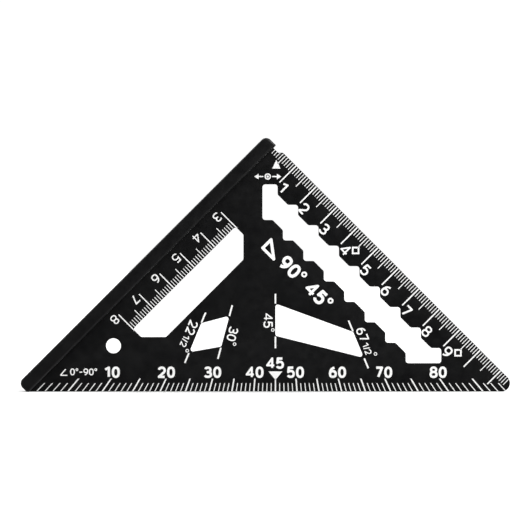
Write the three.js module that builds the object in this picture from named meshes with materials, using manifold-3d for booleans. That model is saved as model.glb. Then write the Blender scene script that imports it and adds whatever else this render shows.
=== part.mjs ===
// Speed square of the 12 cm size: a right-angled blade with a wide fence along one leg. Millimetres.
//
// The square stands on its long edge. X runs along that edge, Y through the blade and Z upward,
// and the origin is at the middle of the base. The graduated face looks toward -Y.
//
// Places on the square are given from the pivot corner, where the fence's inner face meets the
// graduated leg: `along` runs down the graduated leg and `down` runs down the fence's inner face,
// so both fall at 45 degrees. Marking angles run from 0, down the fence, to 90, along the leg.

import * as THREE from "three";
import { mergeVertices } from "three/addons/utils/BufferGeometryUtils.js";
import Module from "manifold-3d";

const wasm = await Module();
wasm.setup();

const DIAGONAL = Math.SQRT1_2;

// A little over the 120 mm that the leg's scale counts.
const LEG = 120.25;
const BLADE_THICKNESS = 3;
const TIP_RADIUS = 2.9;

// The blade's edge sits this deep in the fence, so the bearing face is a strip on each side of it.
const ROOT_DEPTH = 0.4;

const FENCE = {
  thickness: 4.7,
  width: 20,
  overrun: 0.5,
  cornerRadius: 2.2,
  edgeRadius: 0.6,
  edgeSteps: 3,
};

// The relief beside the fence, which lets the pivot corner sit on a board's sharp edge.
const PIVOT_NOTCH = { depth: 1.2, floor: 2.4 };

// The long slot beside the graduated leg, with a pencil notch at each centimetre on its outer side
// and one at each half centimetre on its inner side. A notch's walls are square to each other.
const LEG_SLOT = {
  outerSide: 11.55,
  innerSide: 18.95,
  notchDepth: 2.5,
  pitch: 10,
  firstOuter: 10,
  firstInner: 15,
  outerNotches: 9,
  innerNotches: 8,
  radius: 1,
};

// The slot behind the fence, whose near side carries the short scale.
const SCALE_SLOT = { nearSide: 10, shoulder: 13.95, farSide: 20, start: 29.7, end: 79.7, radius: 1 };

// The marking angles turn about a point just above the pivot corner.
const MARKING_CENTRE = { right: -0.08, above: 0.42 };

// Each window lies between two marking angles and gives the radii where its sides start and end.
const WINDOWS = [
  { from: { angle: 22.5, inner: 67, outer: 77.8 }, to: { angle: 30, inner: 61.4, outer: 72.4 } },
  { from: { angle: 45, inner: 55.1, outer: 66.2 }, to: { angle: 67.5, inner: 70.3, outer: 79.9 } },
];
const WINDOW_RADIUS = 0.8;

const HANGING_HOLE = { along: 9.35, down: 88.6, radius: 2.6 };

const ARC_STEP = Math.PI / 20;
const HOLE_STEPS = 48;

const pivot = new THREE.Vector2(pivotX(), LEG * DIAGONAL);
const markingCentre = new THREE.Vector2(
  pivot.x + MARKING_CENTRE.right,
  pivot.y + MARKING_CENTRE.above,
);

/** X of the pivot corner when the fence's lower end and the blade's tip lie equally far from 0. */
function pivotX() {
  const fenceCorner = (FENCE.thickness + LEG + FENCE.overrun) * DIAGONAL;
  const fenceReach = fenceCorner - FENCE.cornerRadius * (Math.SQRT2 - 1);
  const tipReach = LEG * DIAGONAL - TIP_RADIUS / Math.tan(Math.PI / 8) + TIP_RADIUS;
  return (fenceReach - tipReach) / 2;
}

/** The point that lies `along` the graduated leg and `down` the fence from the pivot corner. */
function at(along, down) {
  return new THREE.Vector2(
    pivot.x + (along - down) * DIAGONAL,
    pivot.y - (along + down) * DIAGONAL,
  );
}

/** The point at a marking angle and a distance from the marking centre. */
function atAngle(degrees, distance) {
  const fromVertical = THREE.MathUtils.degToRad(degrees - 45);
  const reach = new THREE.Vector2(Math.sin(fromVertical), -Math.cos(fromVertical));
  return markingCentre.clone().addScaledVector(reach, distance);
}

function corner(point, radius = 0) {
  return { point, radius };
}

/** The arc that rounds the corner between two straight sides. */
function roundedCorner(before, { point, radius }, after) {
  if (radius === 0) return [point];
  const back = before.clone().sub(point).normalize();
  const ahead = after.clone().sub(point).normalize();
  const halfAngle = Math.acos(back.dot(ahead)) / 2;
  const inward = back.clone().add(ahead).normalize();
  const centre = point.clone().addScaledVector(inward, radius / Math.sin(halfAngle));
  const spoke = point.clone().addScaledVector(back, radius / Math.tan(halfAngle)).sub(centre);
  const sweep = (Math.PI - 2 * halfAngle) * -Math.sign(back.cross(ahead));
  const steps = Math.round(Math.abs(sweep) / ARC_STEP);
  return Array.from({ length: steps + 1 }, (_, step) =>
    spoke.clone().rotateAround(new THREE.Vector2(), (sweep * step) / steps).add(centre));
}

/** A closed outline through the corners, each rounded by its own radius. */
function outline(corners) {
  return corners.flatMap((current, index) => {
    const before = corners.at(index - 1).point;
    const after = corners[(index + 1) % corners.length].point;
    return roundedCorner(before, current, after);
  });
}

function circle(centre, radius) {
  return Array.from({ length: HOLE_STEPS }, (_, step) => {
    const angle = (2 * Math.PI * step) / HOLE_STEPS;
    return centre.clone().add(new THREE.Vector2(Math.cos(angle), Math.sin(angle)).multiplyScalar(radius));
  });
}

/** Runs counterclockwise, as an outline with holes in it has to. */
function bladeOutline() {
  return outline([
    corner(at(-ROOT_DEPTH, LEG + ROOT_DEPTH)),
    corner(at(LEG, 0), TIP_RADIUS),
    corner(at(PIVOT_NOTCH.floor + PIVOT_NOTCH.depth, 0)),
    corner(at(PIVOT_NOTCH.floor, PIVOT_NOTCH.depth)),
    corner(at(-ROOT_DEPTH, PIVOT_NOTCH.depth)),
  ]);
}

/** The strip that the groove takes out of the fence. It runs out past the fence's inner face and end. */
function grooveOutline() {
  return outline([
    corner(at(-ROOT_DEPTH, PIVOT_NOTCH.depth)),
    corner(at(-ROOT_DEPTH, LEG + FENCE.thickness)),
    corner(at(ROOT_DEPTH, LEG + FENCE.thickness)),
    corner(at(ROOT_DEPTH, PIVOT_NOTCH.depth)),
  ]);
}

function fenceOutline() {
  const end = LEG + FENCE.overrun;
  return outline([
    corner(at(0, 0)),
    corner(at(0, LEG)),
    corner(at(-FENCE.overrun, end)),
    corner(at(-FENCE.thickness, end), FENCE.cornerRadius),
    corner(at(-FENCE.thickness, 0), FENCE.cornerRadius),
  ]);
}

/** The corners of a row of V notches along one side, in order. Depth below zero cuts outward. */
function notchRow(first, count, side, depth) {
  const halfWidth = Math.abs(depth);
  return Array.from({ length: count }, (_, index) => {
    const centre = first + index * LEG_SLOT.pitch;
    return [
      at(centre - halfWidth, side),
      at(centre, side + depth),
      at(centre + halfWidth, side),
    ];
  }).flat();
}

/** The notched slot. At each end the walls of the last two notches run on until they meet. */
function legSlotOutline() {
  const { outerSide, innerSide, notchDepth, radius } = LEG_SLOT;
  const outer = notchRow(LEG_SLOT.firstOuter, LEG_SLOT.outerNotches, outerSide, -notchDepth);
  const inner = notchRow(LEG_SLOT.firstInner, LEG_SLOT.innerNotches, innerSide, notchDepth);
  const outerRun = outer.slice(1, -1);
  const innerRun = inner.slice(1, -1).reverse();
  const lowerEnd = new THREE.Vector2(outerRun.at(-1).x, innerRun[0].y);
  const upperEnd = new THREE.Vector2(innerRun.at(-1).x, outerRun[0].y);
  const points = [...outerRun, lowerEnd, ...innerRun, upperEnd];
  return outline(points.map((point) => corner(point, radius)));
}

function scaleSlotOutline() {
  const { nearSide, shoulder, farSide, start, end, radius } = SCALE_SLOT;
  const taper = farSide - shoulder;
  const points = [
    at(nearSide, start),
    at(shoulder, start),
    at(farSide, start + taper),
    at(farSide, end - taper),
    at(shoulder, end),
    at(nearSide, end),
  ];
  return outline(points.map((point) => corner(point, radius)));
}

function windowOutline({ from, to }) {
  const points = [
    atAngle(from.angle, from.inner),
    atAngle(to.angle, to.inner),
    atAngle(to.angle, to.outer),
    atAngle(from.angle, from.outer),
  ];
  return outline(points.map((point) => corner(point, WINDOW_RADIUS)));
}

/** A slab of the given outline, as thick as the blade and centred on its mid plane. */
function bladeSlab(points, openings = []) {
  const shape = new THREE.Shape(points);
  shape.holes = openings.map((hole) => new THREE.Path(hole));
  const geometry = new THREE.ExtrudeGeometry(shape, { depth: BLADE_THICKNESS, bevelEnabled: false });
  return geometry.translate(0, 0, -BLADE_THICKNESS / 2);
}

/** The bar that the fence is cut from, with its outer edges rounded. */
function fenceBar() {
  const { width, edgeRadius, edgeSteps } = FENCE;
  const depth = width - 2 * edgeRadius;
  const geometry = new THREE.ExtrudeGeometry(new THREE.Shape(fenceOutline()), {
    depth,
    bevelThickness: edgeRadius,
    bevelSize: edgeRadius,
    bevelOffset: -edgeRadius,
    bevelSegments: edgeSteps,
  });
  return geometry.translate(0, 0, -depth / 2);
}

function solid(geometry) {
  geometry.deleteAttribute("normal");
  geometry.deleteAttribute("uv");
  const merged = mergeVertices(geometry);
  return new wasm.Manifold(new wasm.Mesh({
    numProp: 3,
    vertProperties: merged.attributes.position.array,
    triVerts: new Uint32Array(merged.index.array),
  }));
}

function cut(geometry, tool) {
  const { vertProperties, triVerts } = solid(geometry).subtract(solid(tool)).getMesh();
  const result = new THREE.BufferGeometry();
  result.setAttribute("position", new THREE.BufferAttribute(vertProperties, 3));
  result.setIndex(new THREE.BufferAttribute(triVerts, 1));
  result.computeVertexNormals();
  return result;
}

/** A named piece, turned from the drawing plane to stand upright with its marked face toward -Y. */
function upright(name, geometry, material) {
  const mesh = new THREE.Mesh(geometry, material);
  mesh.name = name;
  mesh.rotation.x = Math.PI / 2;
  return mesh;
}

/** The flat blade with its slots, windows and hanging hole. */
function blade(material) {
  const hole = circle(at(HANGING_HOLE.along, HANGING_HOLE.down), HANGING_HOLE.radius);
  const openings = [legSlotOutline(), scaleSlotOutline(), ...WINDOWS.map(windowOutline), hole];
  return upright("blade", bladeSlab(bladeOutline(), openings), material);
}

/** The fence, which stands out from both faces of the blade and hooks on a board's edge. */
function fence(material) {
  return upright("fence", cut(fenceBar(), bladeSlab(grooveOutline())), material);
}

const blackAluminium = new THREE.MeshStandardMaterial({
  color: 0x17181a,
  metalness: 0.55,
  roughness: 0.45,
});

const speedSquare = new THREE.Group();
speedSquare.add(blade(blackAluminium), fence(blackAluminium));

export default speedSquare;
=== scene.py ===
"""The looks of the 12 cm speed square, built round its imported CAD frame.

The square stands on its long edge with the graduated face toward -Y. Shapes are laid out in
millimetres on the plan of the blade (X to the right, Z upward) and go to the frame's metres when
a mesh is made. As in the CAD model, places are given from the pivot corner: `along` runs down the
graduated leg and `down` runs down the fence, so both fall at 45 degrees.
"""

import math

import bmesh
import bpy
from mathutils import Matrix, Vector
from mathutils.geometry import delaunay_2d_cdt


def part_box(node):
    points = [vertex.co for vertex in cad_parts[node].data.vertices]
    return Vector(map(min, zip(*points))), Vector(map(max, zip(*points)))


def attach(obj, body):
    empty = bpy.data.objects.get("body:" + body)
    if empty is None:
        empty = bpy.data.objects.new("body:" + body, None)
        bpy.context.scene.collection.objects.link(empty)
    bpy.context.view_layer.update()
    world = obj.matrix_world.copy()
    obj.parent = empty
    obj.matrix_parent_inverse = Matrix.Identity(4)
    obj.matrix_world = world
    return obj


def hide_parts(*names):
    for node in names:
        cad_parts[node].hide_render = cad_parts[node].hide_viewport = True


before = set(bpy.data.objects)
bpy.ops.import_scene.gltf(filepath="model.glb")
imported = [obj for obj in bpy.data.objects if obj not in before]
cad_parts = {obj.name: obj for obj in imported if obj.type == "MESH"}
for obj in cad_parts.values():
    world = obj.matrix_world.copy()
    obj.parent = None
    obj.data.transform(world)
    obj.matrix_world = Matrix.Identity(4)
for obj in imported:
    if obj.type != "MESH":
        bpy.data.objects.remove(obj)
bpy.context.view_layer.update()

MM = 0.001
DIAGONAL = math.sqrt(0.5)
FRONT = -1
BACK = 1

# The plan of the metal, the same as in the CAD model. The leg is a little longer than the 120 mm
# that its scale counts.
LEG = 120.25
ROOT_DEPTH = 0.4
TIP_RADIUS = 2.9
NOTCH_FLOOR = 2.4
NOTCH_DEPTH = 1.2
FENCE_THICKNESS = 4.7
FENCE_OVERRUN = 0.5
FENCE_CORNER = 2.2
OUTER_SIDE = 11.55
INNER_SIDE = 18.95
PENCIL_NOTCH = 2.5
PITCH = 10
OUTER_NOTCHES = range(10, 100, PITCH)
INNER_NOTCHES = range(15, 95, PITCH)
SLOT_RADIUS = 1
SCALE_EDGE = 10
SCALE_SHOULDER = 13.95
SCALE_FAR_SIDE = 20
SCALE_START = 29.7
SCALE_END = 79.7
WINDOW_RADIUS = 0.8
HOLE_PLACE = (9.35, 88.6)
HOLE_RADIUS = 2.6

# Each window lies between two marking angles: (degrees, radius of its inner end, of its outer end).
WINDOWS = [
    ((22.5, 67, 77.8), (30, 61.4, 72.4)),
    ((45, 55.1, 66.2), (67.5, 70.3, 79.9)),
]

# How finely the visible surface is rounded.
ARC_STEP = math.radians(6)
HOLE_STEPS = 72
EDGE_STEPS = 5
SHARP_ANGLE = math.radians(30)
BLADE_EDGE = 0.12
FENCE_EDGE = 0.75

# The paint stands this far proud of the metal, and is rooted this far in it.
PAINT_LIFT = 0.03
PAINT_ROOT = 0.03

blade_low, blade_high = (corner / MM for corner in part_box("blade"))
fence_low, fence_high = (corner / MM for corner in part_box("fence"))
HALF_BLADE = (blade_high.y - blade_low.y) / 2
HALF_FENCE = (fence_high.y - fence_low.y) / 2
PIVOT = Vector((blade_low.x + (LEG + 2 * ROOT_DEPTH) * DIAGONAL, LEG * DIAGONAL))

# The marking angles turn about a point just above the pivot corner.
MARKING_CENTRE = PIVOT + Vector((-0.08, 0.42))

# Directions on the plan.
ALONG = Vector((DIAGONAL, -DIAGONAL))
DOWN = Vector((-DIAGONAL, -DIAGONAL))
UPRIGHT = Vector((0, 1))


# ---------------------------------------------------------------- plan geometry

def at(along, down):
    """The plan point `along` the graduated leg and `down` the fence from the pivot corner."""
    return PIVOT + ALONG * along + DOWN * down


def ray(degrees):
    """The direction of a marking angle: 0 lies down the fence and 90 along the graduated leg."""
    angle = math.radians(degrees)
    return ALONG * math.sin(angle) + DOWN * math.cos(angle)


def right_of(up):
    """The direction that lies to the right when `up` is upward."""
    return Vector((up.y, -up.x))


def turned(vector, angle):
    """A vector turned counterclockwise."""
    cosine, sine = math.cos(angle), math.sin(angle)
    return Vector((vector.x * cosine - vector.y * sine, vector.x * sine + vector.y * cosine))


def rounded_corner(before, point, after, radius):
    """The arc that rounds the corner between two straight sides."""
    if radius == 0:
        return [point]
    back = (before - point).normalized()
    ahead = (after - point).normalized()
    half_angle = math.acos(back.dot(ahead)) / 2
    centre = point + (back + ahead).normalized() * (radius / math.sin(half_angle))
    spoke = point + back * (radius / math.tan(half_angle)) - centre
    sweep = -math.copysign(math.pi - 2 * half_angle, back.x * ahead.y - back.y * ahead.x)
    steps = round(abs(sweep) / ARC_STEP)
    return [centre + turned(spoke, sweep * step / steps) for step in range(steps + 1)]


def outline(corners, radius=None):
    """A closed counterclockwise outline through (point, radius) corners.

    The corners are plain points where one radius is given for all of them.
    """
    pairs = corners if radius is None else [(point, radius) for point in corners]
    loop = []
    for index, (point, bend) in enumerate(pairs):
        after = pairs[(index + 1) % len(pairs)][0]
        loop += rounded_corner(pairs[index - 1][0], point, after, bend)
    return loop if doubled_area(loop) > 0 else loop[::-1]


def doubled_area(loop):
    """Twice the area inside a loop, below zero where the loop runs clockwise."""
    pairs = zip(loop, loop[1:] + loop[:1])
    return sum(here.x * there.y - here.y * there.x for here, there in pairs)


def circle(centre, radius, steps):
    """Points spaced evenly round a circle, counterclockwise."""
    angles = [2 * math.pi * step / steps for step in range(steps)]
    return [centre + Vector((math.cos(angle), math.sin(angle))) * radius for angle in angles]


def blade_outline():
    """The plate, from its root inside the fence to its acute corner, with the pivot notch."""
    return outline([
        (at(-ROOT_DEPTH, LEG + ROOT_DEPTH), 0),
        (at(LEG, 0), TIP_RADIUS),
        (at(NOTCH_FLOOR + NOTCH_DEPTH, 0), 0),
        (at(NOTCH_FLOOR, NOTCH_DEPTH), 0),
        (at(-ROOT_DEPTH, NOTCH_DEPTH), 0),
    ])


def fence_outline():
    """The bar as it is seen from the front, with the blade's leg along its inner side."""
    end = LEG + FENCE_OVERRUN
    return outline([
        (at(0, 0), 0),
        (at(0, LEG), 0),
        (at(-FENCE_OVERRUN, end), 0),
        (at(-FENCE_THICKNESS, end), FENCE_CORNER),
        (at(-FENCE_THICKNESS, 0), FENCE_CORNER),
    ])


def notch_row(centres, side, depth):
    """The corners of a row of square V notches along one side. Depth below zero cuts outward."""
    corners = []
    for centre in centres:
        corners += [
            at(centre - abs(depth), side),
            at(centre, side + depth),
            at(centre + abs(depth), side),
        ]
    return corners


def leg_slot_outline():
    """The notched slot. At each end the walls of the last two notches run on until they meet."""
    outer = notch_row(OUTER_NOTCHES, OUTER_SIDE, -PENCIL_NOTCH)[1:-1]
    inner = notch_row(INNER_NOTCHES, INNER_SIDE, PENCIL_NOTCH)[1:-1]
    lower_end = Vector((outer[-1].x, inner[-1].y))
    upper_end = Vector((inner[0].x, outer[0].y))
    return outline([*outer, lower_end, *reversed(inner), upper_end], SLOT_RADIUS)


def scale_slot_outline():
    """The slot that carries the short scale. Its far corners are cut away at 45 degrees."""
    taper = SCALE_FAR_SIDE - SCALE_SHOULDER
    return outline([
        at(SCALE_EDGE, SCALE_START),
        at(SCALE_SHOULDER, SCALE_START),
        at(SCALE_FAR_SIDE, SCALE_START + taper),
        at(SCALE_FAR_SIDE, SCALE_END - taper),
        at(SCALE_SHOULDER, SCALE_END),
        at(SCALE_EDGE, SCALE_END),
    ], SLOT_RADIUS)


def on_ray(degrees, distance):
    """The plan point at a marking angle and a distance from the marking centre."""
    return MARKING_CENTRE + ray(degrees) * distance


def window_outline(first, second):
    """A window between two rays, each given as (degrees, inner radius, outer radius)."""
    (angle, inner, outer), (other, other_inner, other_outer) = first, second
    return outline([
        on_ray(angle, inner),
        on_ray(other, other_inner),
        on_ray(other, other_outer),
        on_ray(angle, outer),
    ], WINDOW_RADIUS)


def blade_openings():
    """The notched slot, the short scale's slot, the two windows and the hanging hole."""
    hole = circle(at(*HOLE_PLACE), HOLE_RADIUS, HOLE_STEPS)
    windows = [window_outline(*window) for window in WINDOWS]
    return [leg_slot_outline(), scale_slot_outline(), *windows, hole]


# ---------------------------------------------------------------- mesh building

# How the triangulation is asked for: all triangles out to the convex hull of the points, with
# points this close taken as one.
ALL_TRIANGLES = 0
SAME_POINT = 1e-5


def in_frame(point, depth):
    """A plan point and a depth, in millimetres, as a place in the frame, in metres."""
    return Vector((point.x, depth, point.y)) * MM


def triangles(loops):
    """Constrained triangles over flat counterclockwise loops, which may overlap.

    Gives (points, triangles, the loops that hold each triangle, the loops' points at each point),
    with the loops' points numbered one loop after another.
    """
    points = [point for loop in loops for point in loop]
    starts = [sum(len(loop) for loop in loops[:index]) for index in range(len(loops))]
    faces = [list(range(start, start + len(loop))) for start, loop in zip(starts, loops)]
    found = delaunay_2d_cdt(points, [], faces, ALL_TRIANGLES, SAME_POINT, True)
    return found[0], found[2], found[5], found[3]


def inset(loop, distance):
    """A counterclockwise loop moved inward everywhere by the same distance."""
    moved = []
    for index, point in enumerate(loop):
        before = -right_of((point - loop[index - 1]).normalized())
        after = -right_of((loop[(index + 1) % len(loop)] - point).normalized())
        moved.append(point + (before + after) * (distance / (1 + before.dot(after))))
    return moved


def edge_profile(half, radius):
    """(inset, depth) pairs from the front face, round the edge, to the back face."""
    quarter = [math.pi / 2 * step / EDGE_STEPS for step in range(EDGE_STEPS + 1)]
    front = [
        (radius * (1 - math.sin(turn)), radius * (1 - math.cos(turn)) - half)
        for turn in quarter
    ]
    return front + [(reach, -depth) for reach, depth in reversed(front)]


def flat_face(outer, openings, edge_radius):
    """The loops round a plate's flat face, inside its rounded edges. The outer one comes first."""
    return [inset(outer, edge_radius)] + [inset(opening, -edge_radius) for opening in openings]


def plate(name, outer, openings, half, edge_radius):
    """A plate with rounded edges round its outline and round each opening."""
    mesh = bmesh.new()
    profile = edge_profile(half, edge_radius)
    walls = []
    for loop, sense in [(outer, 1)] + [(opening, -1) for opening in openings]:
        walls.append([
            [mesh.verts.new(in_frame(point, depth)) for point in inset(loop, sense * reach)]
            for reach, depth in profile
        ])
    for rings in walls:
        add_wall(mesh, rings)
    _, faces, holders, sources = triangles(flat_face(outer, openings, edge_radius))
    for end in (0, -1):
        rim = [vertex for rings in walls for vertex in rings[end]]
        for face, held_by in zip(faces, holders):
            if held_by == [0]:
                mesh.faces.new([rim[sources[index][0]] for index in face])
    return finished(name, mesh)


def add_wall(mesh, rings):
    """Smooth four-sided faces from each ring of vertices to the next."""
    for near, far in zip(rings, rings[1:]):
        for index in range(len(near)):
            corners = (near[index - 1], near[index], far[index], far[index - 1])
            mesh.faces.new(corners).smooth = True


def finished(name, mesh):
    """A scene object from a bmesh, with its faces pointing outward and its true corners crisp."""
    bmesh.ops.recalc_face_normals(mesh, faces=mesh.faces)
    data = bpy.data.meshes.new(name)
    mesh.to_mesh(data)
    mesh.free()
    data.set_sharp_from_angle(angle=SHARP_ANGLE)
    piece = bpy.data.objects.new(name, data)
    bpy.context.scene.collection.objects.link(piece)
    return piece


def painted(name, shapes, side):
    """One piece of thin paint over the outline of all the flat shapes together.

    Paint that would fall outside the blade's flat face, or over an opening, is left off.
    """
    metal = flat_face(blade_outline(), blade_openings(), BLADE_EDGE)
    points, faces, holders, _ = triangles([*metal, *shapes])
    openings = set(range(1, len(metal)))
    covered = [face for face, held_by in zip(faces, holders) if takes_paint(held_by, openings)]
    mesh = bmesh.new()
    top = layer(mesh, points, covered, side * (HALF_BLADE + PAINT_LIFT))
    root = layer(mesh, points, covered, side * (HALF_BLADE - PAINT_ROOT))
    edges = {(face[index - 1], face[index]) for face in covered for index in range(3)}
    for face in covered:
        mesh.faces.new([top[index] for index in face])
        mesh.faces.new([root[index] for index in reversed(face)])
    for start, end in sorted(edges):
        if (end, start) not in edges:
            mesh.faces.new((top[end], top[start], root[start], root[end]))
    piece = finished(name, mesh)
    piece.data.materials.append(WHITE)
    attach(piece, "root")


def takes_paint(held_by, openings):
    """Whether the loops that hold a triangle are the metal's rim, loop 0, and a painted shape."""
    return 0 in held_by and len(held_by) > 1 and openings.isdisjoint(held_by)


def layer(mesh, points, faces, depth):
    """The vertices of the faces at one depth, by the index of their point."""
    used = sorted({index for face in faces for index in face})
    return {index: mesh.verts.new(in_frame(points[index], depth)) for index in used}


# ---------------------------------------------------------------- strokes and numerals

# How finely curved strokes are drawn, and how much squarer than an ellipse, at 2, an oval is.
OVAL_STEP = 15
OVAL_FULLNESS = 2.3
RING_STEPS = 24
JOINT_STEPS = 16

# The ends of a run are this close where it closes on itself.
CLOSED_WITHIN = 1e-4

# The corners of a square that reaches 1 from its centre.
SQUARE_CORNERS = ((-1, -1), (1, -1), (1, 1), (-1, 1))


def bar(start, end, width):
    """A straight stroke with square ends."""
    across = right_of((end - start).normalized()) * (width / 2)
    return [start + across, end + across, end - across, start - across]


def band(points, width, closed=False):
    """A stroke of even width along a smooth run of points, as one four-sided shape per step."""
    last = len(points) - 1
    sides = []
    for index, point in enumerate(points):
        before = points[index - 1 if closed else max(index - 1, 0)]
        after = points[(index + 1) % len(points) if closed else min(index + 1, last)]
        sides.append((point, right_of((after - before).normalized()) * (width / 2)))
    if closed:
        sides.append(sides[0])
    return [
        [start + near, end + far, end - far, start - near]
        for (start, near), (end, far) in zip(sides, sides[1:])
    ]


def oval(centre_x, centre_y, reach_x, reach_y, start=0, end=360):
    """A run of points on an oval that is a little squarer than an ellipse."""
    steps = round(abs(end - start) / OVAL_STEP)
    power = 2 / OVAL_FULLNESS
    points = []
    for step in range(steps + 1):
        angle = math.radians(start + (end - start) * step / steps)
        cosine, sine = math.cos(angle), math.sin(angle)
        points.append(Vector((
            centre_x + reach_x * math.copysign(abs(cosine) ** power, cosine),
            centre_y + reach_y * math.copysign(abs(sine) ** power, sine),
        )))
    return points


def line(*places):
    """A straight run between plain (x, y) places."""
    return [Vector(place) for place in places]


# The centre lines of each numeral, in a box that is 1 wide and 1 high. Where one run ends at the
# place where the next one starts, the joint between them is round.
NUMERALS = {
    "0": [oval(0.5, 0.5, 0.5, 0.5)],
    "1": [line((0, 0.8), (0.85, 1)), line((0.85, 1), (0.85, 0))],
    "2": [oval(0.5, 0.7, 0.5, 0.3, 170, -30), line((0.9, 0.5), (0, 0)), line((0, 0), (1, 0))],
    "3": [
        oval(0.47, 0.755, 0.45, 0.245, 160, -90),
        line((0.47, 0.51), (0.3, 0.51)),
        oval(0.47, 0.255, 0.53, 0.255, 90, -160),
    ],
    "4": [line((0.76, 0), (0.76, 1)), line((0.76, 1), (0, 0.27)), line((0, 0.27), (1.06, 0.27))],
    "5": [
        line((0.92, 1), (0.14, 1)),
        line((0.14, 1), (0.06, 0.52)),
        oval(0.47, 0.32, 0.53, 0.32, 140, -155),
    ],
    "6": [oval(0.5, 0.31, 0.5, 0.31), oval(0.95, 0.31, 0.95, 0.69, 180, 98)],
    "7": [line((0, 1), (1, 1)), line((1, 1), (0.36, 0))],
    "8": [oval(0.5, 0.765, 0.43, 0.235), oval(0.5, 0.265, 0.5, 0.265)],
    "9": [oval(0.5, 0.69, 0.5, 0.31), oval(0.05, 0.69, 0.95, 0.69, 0, -82)],
    "/": [line((0, -0.05), (1, 1.05))],
    "-": [line((0, 0.45), (1, 0.45))],
}

# Widths and gaps as parts of the height.
WIDTHS = {"1": 0.58, "4": 0.76, "/": 0.36, "-": 0.55, " ": 0.3}
PLAIN_WIDTH = 0.7
GAP = 0.09
RING_DIAMETER = 0.4

# How far a degree ring's centre lies below the top, and its thickest stroke, in ring diameters.
RING_DROP = 0.45
RING_STROKE_LIMIT = 0.3

# Numerals with small counters have thinner strokes.
THINNING = {"4": 0.84, "8": 0.92}


def lettering(text, height, stroke):
    """Numerals set from (0, 0) along X: (their flat shapes, the width of them all)."""
    cursor = 0
    shapes = []
    for character in text:
        width = WIDTHS.get(character, PLAIN_WIDTH) * height
        if character == "°":
            width = RING_DIAMETER * height
            centre = Vector((cursor + width / 2, height - width * RING_DROP))
            shapes += ring_shapes(centre, width, stroke)
        elif character != " ":
            shapes += numeral_shapes(character, cursor, width, height, stroke)
        cursor += width + GAP * height
    return shapes, cursor - GAP * height


def numeral_shapes(character, left, width, height, stroke):
    """The strokes of one numeral, as flat shapes, standing on the line at `left`."""
    stroke *= THINNING.get(character, 1)
    shapes = []
    previous_end = None
    for run in NUMERALS[character]:
        points = [
            Vector((
                left + stroke / 2 + point.x * (width - stroke),
                stroke / 2 + point.y * (height - stroke),
            ))
            for point in run
        ]
        closed = (points[0] - points[-1]).length < CLOSED_WITHIN
        shapes += band(points[:-1], stroke, True) if closed else band(points, stroke)
        if previous_end and (points[0] - previous_end).length < stroke / 4:
            shapes.append(circle(points[0], stroke / 2, JOINT_STEPS))
        previous_end = points[-1]
    return shapes


def ring_shapes(centre, diameter, stroke):
    """A ring, such as a degree sign."""
    ring_stroke = min(stroke, diameter * RING_STROKE_LIMIT)
    return band(circle(centre, (diameter - ring_stroke) / 2, RING_STEPS), ring_stroke, True)


def written(text, centre, up, side, height, stroke):
    """Numerals centred on a plan point, that read properly on their side of the blade."""
    shapes, width = lettering(text, height, stroke)
    return placed(shapes, centre, up, side, Vector((width / 2, height / 2)))


def placed(shapes, origin, up, side, anchor=Vector((0, 0))):
    """Shapes moved so that `anchor` is at `origin`, with their own upward direction along `up`."""
    right = right_of(up) * -side
    return [
        counterclockwise([
            origin + right * (point.x - anchor.x) + up * (point.y - anchor.y) for point in shape
        ])
        for shape in shapes
    ]


def shifted(shapes, distance):
    """Shapes moved to the right."""
    step = Vector((distance, 0))
    return [[point + step for point in shape] for shape in shapes]


def counterclockwise(shape):
    """The same shape, turned round where it runs clockwise."""
    return shape if doubled_area(shape) > 0 else shape[::-1]


# ---------------------------------------------------------------- materials

# Noise seldom leaves this range, so shades and roughness are spread over it.
NOISE_LOW = 0.3
NOISE_HIGH = 0.7


def material(name, specular):
    """A new node material: (material, its node tree, its Principled shader)."""
    made = bpy.data.materials.new(name)
    made.use_nodes = True
    shader = made.node_tree.nodes["Principled BSDF"]
    shader.inputs["Specular IOR Level"].default_value = specular
    return made, made.node_tree, shader


def noise(tree, size, detail=4):
    """Noise whose lumps are about `size` millimetres across, fixed to the object."""
    place = tree.nodes.new("ShaderNodeTexCoord")
    texture = tree.nodes.new("ShaderNodeTexNoise")
    texture.inputs["Scale"].default_value = 1 / (size * MM)
    texture.inputs["Detail"].default_value = detail
    tree.links.new(place.outputs["Object"], texture.inputs["Vector"])
    return texture.outputs["Fac"]


def shades(tree, source, dark, light):
    """A colour that goes from dark to light over the range of the noise."""
    node = tree.nodes.new("ShaderNodeValToRGB")
    stops = ((NOISE_LOW, dark), (NOISE_HIGH, light))
    for element, (position, colour) in zip(node.color_ramp.elements, stops):
        element.position = position
        element.color = (*colour, 1)
    tree.links.new(source, node.inputs["Fac"])
    return node.outputs["Color"]


def spread(tree, source, low, high):
    """A value that goes from low to high over the range of the noise."""
    node = tree.nodes.new("ShaderNodeMapRange")
    node.inputs["From Min"].default_value = NOISE_LOW
    node.inputs["From Max"].default_value = NOISE_HIGH
    node.inputs["To Min"].default_value = low
    node.inputs["To Max"].default_value = high
    tree.links.new(source, node.inputs["Value"])
    return node.outputs["Result"]


def bump(tree, shader, source, height, strength):
    """Relief of a height in millimetres, on the whole surface."""
    node = tree.nodes.new("ShaderNodeBump")
    node.inputs["Distance"].default_value = height * MM
    node.inputs["Strength"].default_value = strength
    tree.links.new(source, node.inputs["Height"])
    tree.links.new(node.outputs["Normal"], shader.inputs["Normal"])


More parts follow.
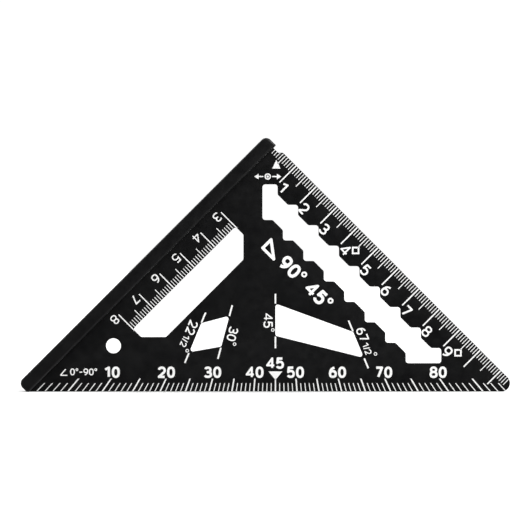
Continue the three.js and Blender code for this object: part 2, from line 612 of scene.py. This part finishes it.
def powder_coat():
    """Satin black powder coat: near black, with a fine orange peel and slightly uneven gloss."""
    made, tree, shader = material("black_powder_coat", specular=0.3)
    dark = (0.0022, 0.0022, 0.0026)
    light = (0.0040, 0.0040, 0.0043)
    shade = shades(tree, noise(tree, size=9), dark, light)
    gloss = spread(tree, noise(tree, size=2.5), low=0.36, high=0.48)
    tree.links.new(shade, shader.inputs["Base Color"])
    tree.links.new(gloss, shader.inputs["Roughness"])
    bump(tree, shader, noise(tree, size=0.55, detail=2), height=0.012, strength=0.5)
    return made


def marking_paint():
    """Matt white marking paint, a little uneven in cover."""
    made, tree, shader = material("white_marking_paint", specular=0.3)
    dark = (0.80, 0.80, 0.79)
    light = (0.90, 0.90, 0.89)
    shade = shades(tree, noise(tree, size=1.6), dark, light)
    gloss = spread(tree, noise(tree, size=0.8), low=0.55, high=0.7)
    tree.links.new(shade, shader.inputs["Base Color"])
    tree.links.new(gloss, shader.inputs["Roughness"])
    bump(tree, shader, noise(tree, size=0.25, detail=2), height=0.006, strength=0.4)
    return made


def pale_floor():
    """A matt, nearly white floor."""
    made, tree, shader = material("pale_floor", specular=0)
    dark = (0.86, 0.86, 0.86)
    light = (0.88, 0.88, 0.88)
    tree.links.new(shades(tree, noise(tree, size=400), dark, light), shader.inputs["Base Color"])
    shader.inputs["Roughness"].default_value = 0.9
    return made


BLACK = powder_coat()
WHITE = marking_paint()


# ---------------------------------------------------------------- the metal

def blade():
    """The plate, with its edges just broken. Its root goes into the fence."""
    return plate("blade_plate", blade_outline(), blade_openings(), HALF_BLADE, BLADE_EDGE)


def fence():
    """The bar, with well rounded edges."""
    return plate("fence_bar", fence_outline(), [], HALF_FENCE, FENCE_EDGE)


def build_metal():
    """The blade and the fence, each in place of its own node of the frame."""
    for piece, node in ((blade(), "blade"), (fence(), "fence")):
        piece.data.materials.append(BLACK)
        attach(piece, "root")
        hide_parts(node)


# ---------------------------------------------------------------- the marks

# Ticks are drawn from this far past the metal's edge, which trims them.
PAST_EDGE = 1

# Lengths and widths of the ticks at each unit, each five units and each ten units.
LEG_TICKS = {1: (2.95, 0.24), 5: (5.15, 0.3), 10: (8.15, 0.44)}
FENCE_TICKS = {1: (2.5, 0.23), 5: (4.2, 0.28), 10: (7.0, 0.38)}
DEGREE_TICKS = {1: (2.9, 0.29), 5: (4.45, 0.46), 10: (4.45, 0.46)}

# The leg scale stops short of its rounded tip. Two of its ticks are shorter than their fellows, to
# clear the pivot arrow and a degree tick.
LEG_TICK_NUMBERS = range(1, 115)
SHORT_LEG_TICKS = {5: 4.1, 110: 6.6}

# All numerals have a size of (height, stroke). These are the centimetres of the leg, with the gap
# after the tick, and how far in their feet lie.
LEG_NUMBERS = range(1, 10)
LEG_NUMERAL_SIZE = (3.95, 0.62)
LEG_NUMERAL_GAP = 1.0
LEG_NUMERAL_FOOT = 10.5

# Small open squares stand at the ends of two of the leg's ticks: how far past the tick and how
# far in their centres lie, their size and their stroke.
STUD_MARKS = (45, 95)
STUD_MARK_PLACE = (0.2, 6.15)
STUD_MARK_SIZE = 2.55
STUD_MARK_STROKE = 0.55

# The short scale by the fence: its millimetres, its centimetres, and where its zero lies down the
# fence. The centre of a numeral is placed by its distance from the fence and past its tick.
FENCE_TICK_NUMBERS = range(30, 81)
FENCE_NUMBERS = range(3, 9)
FENCE_ZERO = -0.3
FENCE_NUMERAL_SIZE = (3.3, 0.46)
FENCE_NUMERAL_PLACE = (3.3, 2.15)

# The numerals over the degree scale. Each is centred just left of where its own ray crosses the
# centring height. The 45 stands higher, over the arrow.
DEGREE_TICK_NUMBERS = range(1, 89)
DEGREE_NUMBERS = range(10, 90, 10)
DEGREE_NUMERAL_SIZE = (4.0, 0.84)
DEGREE_NUMERAL_LEVEL = 6.65
CENTRING_HEIGHT = 5
LEFT_OF_RAY = 0.14
RAISED_LEVEL = 9.8


def tick_size(number, sizes):
    """(length, width) of the tick at a whole number of units."""
    if number % 10 == 0:
        return sizes[10]
    return sizes[5] if number % 5 == 0 else sizes[1]


def leg_scale_ticks():
    """A tick at each millimetre of the graduated leg, from beyond its edge inward."""
    shapes = []
    for number in LEG_TICK_NUMBERS:
        length, width = tick_size(number, LEG_TICKS)
        if number in STUD_MARKS:
            length = STUD_MARK_PLACE[1] - STUD_MARK_SIZE / 2
        end = at(number, SHORT_LEG_TICKS.get(number, length))
        shapes.append(bar(at(number, -PAST_EDGE), end, width))
    return shapes


def leg_scale_numerals(side):
    """The centimetres, each just past its tick in the reading direction."""
    shapes = []
    for number in LEG_NUMBERS:
        numeral, _ = lettering(str(number), *LEG_NUMERAL_SIZE)
        foot = at(10 * number - side * LEG_NUMERAL_GAP, LEG_NUMERAL_FOOT)
        shapes += placed(numeral, foot, -DOWN, side)
    return shapes


def stud_marks():
    """The small open squares, with their sides level and upright."""
    shapes = []
    reach = (STUD_MARK_SIZE - STUD_MARK_STROKE) / 2
    for number in STUD_MARKS:
        centre = at(number + STUD_MARK_PLACE[0], STUD_MARK_PLACE[1])
        corners = [centre + Vector(corner) * reach for corner in SQUARE_CORNERS]
        shapes += square_frame(corners, STUD_MARK_STROKE)
    return shapes


def square_frame(corners, stroke):
    """Four bars round a square, each run on by half a stroke to fill the corner."""
    bars = []
    for start, end in zip(corners, corners[1:] + corners[:1]):
        run_on = (end - start).normalized() * (stroke / 2)
        bars.append(bar(start - run_on, end + run_on, stroke))
    return bars


def fence_scale_ticks():
    """A tick at each millimetre of the scale slot's near side, from its edge toward the fence."""
    shapes = []
    for number in FENCE_TICK_NUMBERS:
        length, width = tick_size(number, FENCE_TICKS)
        place = number + FENCE_ZERO
        start = at(SCALE_EDGE + PAST_EDGE, place)
        shapes.append(bar(start, at(SCALE_EDGE - length, place), width))
    return shapes


def fence_scale_numerals():
    """The centimetres of the short scale, each just past its tick."""
    shapes = []
    from_fence, past_tick = FENCE_NUMERAL_PLACE
    for number in FENCE_NUMBERS:
        place = at(from_fence, 10 * number + FENCE_ZERO + past_tick)
        shapes += written(str(number), place, ALONG, FRONT, *FENCE_NUMERAL_SIZE)
    return shapes


def degree_place(degrees, height):
    """The plan point on a degree's ray at a height above the long edge."""
    direction = ray(degrees)
    return MARKING_CENTRE + direction * ((height - MARKING_CENTRE.y) / direction.y)


def degree_ticks():
    """A tick at each degree, pointing at the marking centre, with its head level."""
    shapes = []
    for number in DEGREE_TICK_NUMBERS:
        height, width = tick_size(number, DEGREE_TICKS)
        across = Vector((width / 2 / abs(ray(number).y), 0))
        foot = degree_place(number, -PAST_EDGE)
        head = degree_place(number, height)
        shapes.append([foot - across, foot + across, head + across, head - across])
    return shapes


def degree_numerals(side):
    """Every tenth degree, and a raised 45 over the arrow."""
    centres = {
        number: Vector((degree_place(number, CENTRING_HEIGHT).x, DEGREE_NUMERAL_LEVEL))
        for number in DEGREE_NUMBERS
    }
    centres[45] = Vector((MARKING_CENTRE.x, RAISED_LEVEL))
    shapes = []
    for number, centre in centres.items():
        place = centre + Vector((side * LEFT_OF_RAY, 0))
        shapes += written(str(number), place, UPRIGHT, side, *DEGREE_NUMERAL_SIZE)
    return shapes


# The two arrowheads: where their tips lie, above the long edge and from the pivot corner, and
# their (length, width).
ANGLE_ARROW_LEVEL = 4.0
ANGLE_ARROW_SIZE = (2.94, 4.8)
PIVOT_ARROW_PLACE = Vector((0.24, -5.01))
PIVOT_ARROW_SIZE = (3.02, 2.83)


def angle_arrow():
    """The arrowhead that points down at the 45 degree tick."""
    length, width = ANGLE_ARROW_SIZE
    return [triangle(Vector((MARKING_CENTRE.x, ANGLE_ARROW_LEVEL)), UPRIGHT * length, width)]


def pivot_arrow():
    """The arrowhead that points up at the pivot corner."""
    length, width = PIVOT_ARROW_SIZE
    return [triangle(PIVOT + PIVOT_ARROW_PLACE, -UPRIGHT * length, width)]


def triangle(tip, to_base, width):
    """An arrowhead, from its tip to a base that lies square to the way there."""
    across = right_of(to_base.normalized()) * (width / 2)
    return counterclockwise([tip, tip + to_base + across, tip + to_base - across])


# Each marking angle's line: (degrees, where it starts and stops outward from the marking centre).
ANGLE_LINES = [
    (22.5, ((63.0, 66.75), (78.1, 81.8))),
    (30, ((57.6, 61.45), (72.8, 76.8))),
    (45, ((51.7, 55.1), (66.5, 70.5))),
    (67.5, ((66.0, 70.0), (80.1, 83.8))),
]
ANGLE_LINE_WIDTH = 0.55


def angle_lines():
    """The lines at both ends of each window that mark its angle."""
    return [
        bar(on_ray(degrees, start), on_ray(degrees, stop), ANGLE_LINE_WIDTH)
        for degrees, stretches in ANGLE_LINES
        for start, stop in stretches
    ]


# Each label: (degrees, where its first numeral starts down the line, how far its foot lies to the
# right of the line, the whole number, whether a half follows).
ANGLE_LABELS = [
    (22.5, 67.2, -4.1, "22", True),
    (30, 64.8, 1.0, "30", False),
    (45, 58.4, -4.15, "45", False),
    (67.5, 69.8, 0.95, "67", True),
]

# The labels' numerals, their smaller halves and the gap before these, and their degree rings.
LABEL_HEIGHT = 3.25
LABEL_STROKE = 0.48
HALF_HEIGHT = 2.3
HALF_STROKE = 0.34
HALF_GAP = 0.6
LABEL_RING = 1.2
LABEL_RING_STROKE = 0.26
LABEL_RING_GAP = 0.15


def angle_labels():
    """Each window's angle, read down its line, with a small half and a degree ring."""
    labels = []
    for degrees, start, foot, whole, has_half in ANGLE_LABELS:
        shapes, width = lettering(whole, LABEL_HEIGHT, LABEL_STROKE)
        if has_half:
            half, half_width = lettering("1/2", HALF_HEIGHT, HALF_STROKE)
            shapes += shifted(half, width + HALF_GAP)
            width += HALF_GAP + half_width
        ring_centre = Vector((width + LABEL_RING_GAP + LABEL_RING / 2, LABEL_HEIGHT))
        shapes += ring_shapes(ring_centre, LABEL_RING, LABEL_RING_STROKE)
        up = -right_of(ray(degrees))
        labels += placed(shapes, on_ray(degrees, start) + up * foot, up, FRONT)
    return labels


# The pivot symbol: a ringed dot, with an arrow to each side of it. Its shafts start and stop this
# far from its centre, and its arrowheads are given as (length, width).
PIVOT_SYMBOL_CENTRE = Vector((0.7, 74.25))
PIVOT_DOT = 0.4
PIVOT_RING = 2.2
PIVOT_STROKE = 0.42
PIVOT_SHAFT = (1.5, 3.15)
PIVOT_ARROWHEAD = (1.5, 1.9)


def pivot_symbol():
    """A ringed dot for the pivot, and arrows that say the square swings both ways about it."""
    dot = circle(PIVOT_SYMBOL_CENTRE, PIVOT_DOT, RING_STEPS)
    shapes = [dot, *ring_shapes(PIVOT_SYMBOL_CENTRE, PIVOT_RING, PIVOT_STROKE)]
    near, far = PIVOT_SHAFT
    length, width = PIVOT_ARROWHEAD
    for outward in (Vector((-1, 0)), Vector((1, 0))):
        neck = PIVOT_SYMBOL_CENTRE + outward * far
        shapes.append(bar(PIVOT_SYMBOL_CENTRE + outward * near, neck, PIVOT_STROKE))
        shapes.append(triangle(neck + outward * length, -outward * length, width))
    return [counterclockwise(shape) for shape in shapes]


# The legend by the degree scale: an angle sign, and the range that the scale covers as (height,
# stroke) numerals.
DEGREE_LEGEND_CENTRE = Vector((-62.9, 6.77))
DEGREE_LEGEND_SIZE = (2.4, 0.4)
ANGLE_SIGN_CORNER = Vector((-70.9, 5.6))
ANGLE_SIGN_ARMS = (Vector((2.4, 0)), Vector((1.8, 2.1)))


def degree_legend():
    """What the long edge's scale measures."""
    shapes = written("0°-90°", DEGREE_LEGEND_CENTRE, UPRIGHT, FRONT, *DEGREE_LEGEND_SIZE)
    for arm in ANGLE_SIGN_ARMS:
        shapes.append(bar(ANGLE_SIGN_CORNER, ANGLE_SIGN_CORNER + arm, DEGREE_LEGEND_SIZE[1]))
    return [counterclockwise(shape) for shape in shapes]


# The large legend: (height, stroke) numerals after an open right triangle (base, rise, stroke).
LARGE_NUMERALS = (5.1, 1.05)
LARGE_TRIANGLE = (5.4, 4.1, 1.0)
LARGE_GAP = 2.6
LARGE_CENTRE = (36.9, 26.2)


def square_legend():
    """An open right triangle, then its two kinds of angle."""
    height, _ = LARGE_NUMERALS
    base, rise, stroke = LARGE_TRIANGLE
    numerals, numerals_width = lettering("90° 45°", *LARGE_NUMERALS)
    corners = [
        Vector((x, y)) + Vector((1, 1)) * (stroke / 2)
        for x, y in ((0, 0), (base, 0), (0, rise))
    ]
    shapes = shifted(numerals, base + LARGE_GAP)
    for start, end in zip(corners, corners[1:] + corners[:1]):
        shapes.append(bar(start, end, stroke))
        shapes.append(circle(start, stroke / 2, JOINT_STEPS))
    middle = Vector(((base + LARGE_GAP + numerals_width) / 2, height / 2))
    return placed(shapes, at(*LARGE_CENTRE), -DOWN, FRONT, middle)


def build_marks():
    """Every mark. The leg scale and the degree scale are on both faces."""
    for side, suffix in ((FRONT, "front"), (BACK, "back")):
        painted(f"leg_scale_ticks_{suffix}", leg_scale_ticks(), side)
        painted(f"leg_scale_numerals_{suffix}", leg_scale_numerals(side), side)
        painted(f"degree_ticks_{suffix}", degree_ticks(), side)
        painted(f"degree_numerals_{suffix}", degree_numerals(side), side)
        painted(f"angle_arrow_{suffix}", angle_arrow(), side)
    painted("stud_marks", stud_marks(), FRONT)
    painted("fence_scale_ticks", fence_scale_ticks(), FRONT)
    painted("fence_scale_numerals", fence_scale_numerals(), FRONT)
    painted("angle_lines", angle_lines(), FRONT)
    painted("angle_labels", angle_labels(), FRONT)
    painted("pivot_arrow", pivot_arrow(), FRONT)
    painted("pivot_symbol", pivot_symbol(), FRONT)
    painted("degree_legend", degree_legend(), FRONT)
    painted("square_legend", square_legend(), FRONT)


# ---------------------------------------------------------------- the studio

# In metres.
FLOOR_REACH = 40
CAMERA_DISTANCE = 2.4
PICTURE_WIDTH = 0.18304
PICTURE_CENTRE = Vector((-0.00025, 0, 0.04369))

# Each sun: (name, the direction that it shines from, strength, softness in degrees).
SUNS = [
    ("key", (0.62, -0.58, 0.53), 2.6, 25),
    ("fill", (-0.4, 0.62, 0.68), 1.6, 35),
    ("top", (0, 0.15, 0.99), 0.8, 50),
]

# The surround is seen at one strength and lights the square at others: dimly from straight ahead
# or behind, and strongly from the sides and overhead. A direction's lean toward the front or back,
# from 0 to 1, says which it is.
WHITE_LIGHT = (1, 1, 1, 1)
SEEN_STRENGTH = 1.05
DIM_STRENGTH = 0.03
DIM_LEAN = 0.95
STRONG_STRENGTH = 0.7
STRONG_LEAN = 0.45


def build_floor():
    """A wide pale floor that the square stands on."""
    mesh = bmesh.new()
    for x, y in SQUARE_CORNERS:
        mesh.verts.new((x * FLOOR_REACH, y * FLOOR_REACH, 0))
    mesh.faces.new(mesh.verts)
    floor = finished("floor", mesh)
    floor.data.materials.append(pale_floor())
    floor.visible_glossy = False


def build_sun(name, direction, strength, softness):
    """A soft, even light that shines from a direction."""
    light = bpy.data.lights.new(name, "SUN")
    light.energy = strength
    light.angle = math.radians(softness)
    lamp = bpy.data.objects.new(name, light)
    lamp.rotation_euler = Vector(direction).to_track_quat("Z", "Y").to_euler()
    bpy.context.scene.collection.objects.link(lamp)


def build_world():
    """A white surround that is seen bright, and lights the square dimly from the front and back."""
    world = bpy.data.worlds.new("studio")
    world.use_nodes = True
    tree = world.node_tree
    seen = tree.nodes["Background"]
    seen.inputs["Color"].default_value = WHITE_LIGHT
    seen.inputs["Strength"].default_value = SEEN_STRENGTH
    lighting = tree.nodes.new("ShaderNodeBackground")
    lighting.inputs["Color"].default_value = WHITE_LIGHT
    tree.links.new(side_light(tree), lighting.inputs["Strength"])
    path = tree.nodes.new("ShaderNodeLightPath")
    mix = tree.nodes.new("ShaderNodeMixShader")
    tree.links.new(path.outputs["Is Camera Ray"], mix.inputs["Fac"])
    tree.links.new(lighting.outputs["Background"], mix.inputs[1])
    tree.links.new(seen.outputs["Background"], mix.inputs[2])
    tree.links.new(mix.outputs["Shader"], tree.nodes["World Output"].inputs["Surface"])
    bpy.context.scene.world = world


def side_light(tree):
    """The surround's strength: low toward the front and back, high overhead and to the sides."""
    place = tree.nodes.new("ShaderNodeTexCoord")
    axes = tree.nodes.new("ShaderNodeSeparateXYZ")
    facing = tree.nodes.new("ShaderNodeMath")
    facing.operation = "ABSOLUTE"
    strength = tree.nodes.new("ShaderNodeMapRange")
    strength.interpolation_type = "SMOOTHSTEP"
    strength.inputs["From Min"].default_value = DIM_LEAN
    strength.inputs["From Max"].default_value = STRONG_LEAN
    strength.inputs["To Min"].default_value = DIM_STRENGTH
    strength.inputs["To Max"].default_value = STRONG_STRENGTH
    tree.links.new(place.outputs["Generated"], axes.inputs["Vector"])
    tree.links.new(axes.outputs["Y"], facing.inputs[0])
    tree.links.new(facing.outputs["Value"], strength.inputs["Value"])
    return strength.outputs["Result"]


def build_camera():
    """A long lens, level with the middle of the square and looking straight at its front."""
    lens = bpy.data.cameras.new("camera")
    lens.sensor_width = 36
    lens.lens = lens.sensor_width * CAMERA_DISTANCE / PICTURE_WIDTH
    lens.clip_start = 0.1
    lens.clip_end = 100
    camera = bpy.data.objects.new("camera", lens)
    camera.location = PICTURE_CENTRE + Vector((0, -CAMERA_DISTANCE - HALF_BLADE * MM, 0))
    camera.rotation_euler = (math.pi / 2, 0, 0)
    bpy.context.scene.collection.objects.link(camera)
    bpy.context.scene.camera = camera


def build_studio():
    """The camera, the floor and the light."""
    build_camera()
    build_floor()
    build_world()
    for sun in SUNS:
        build_sun(*sun)
    bpy.context.scene.view_settings.view_transform = "Standard"


build_studio()
build_metal()
build_marks()
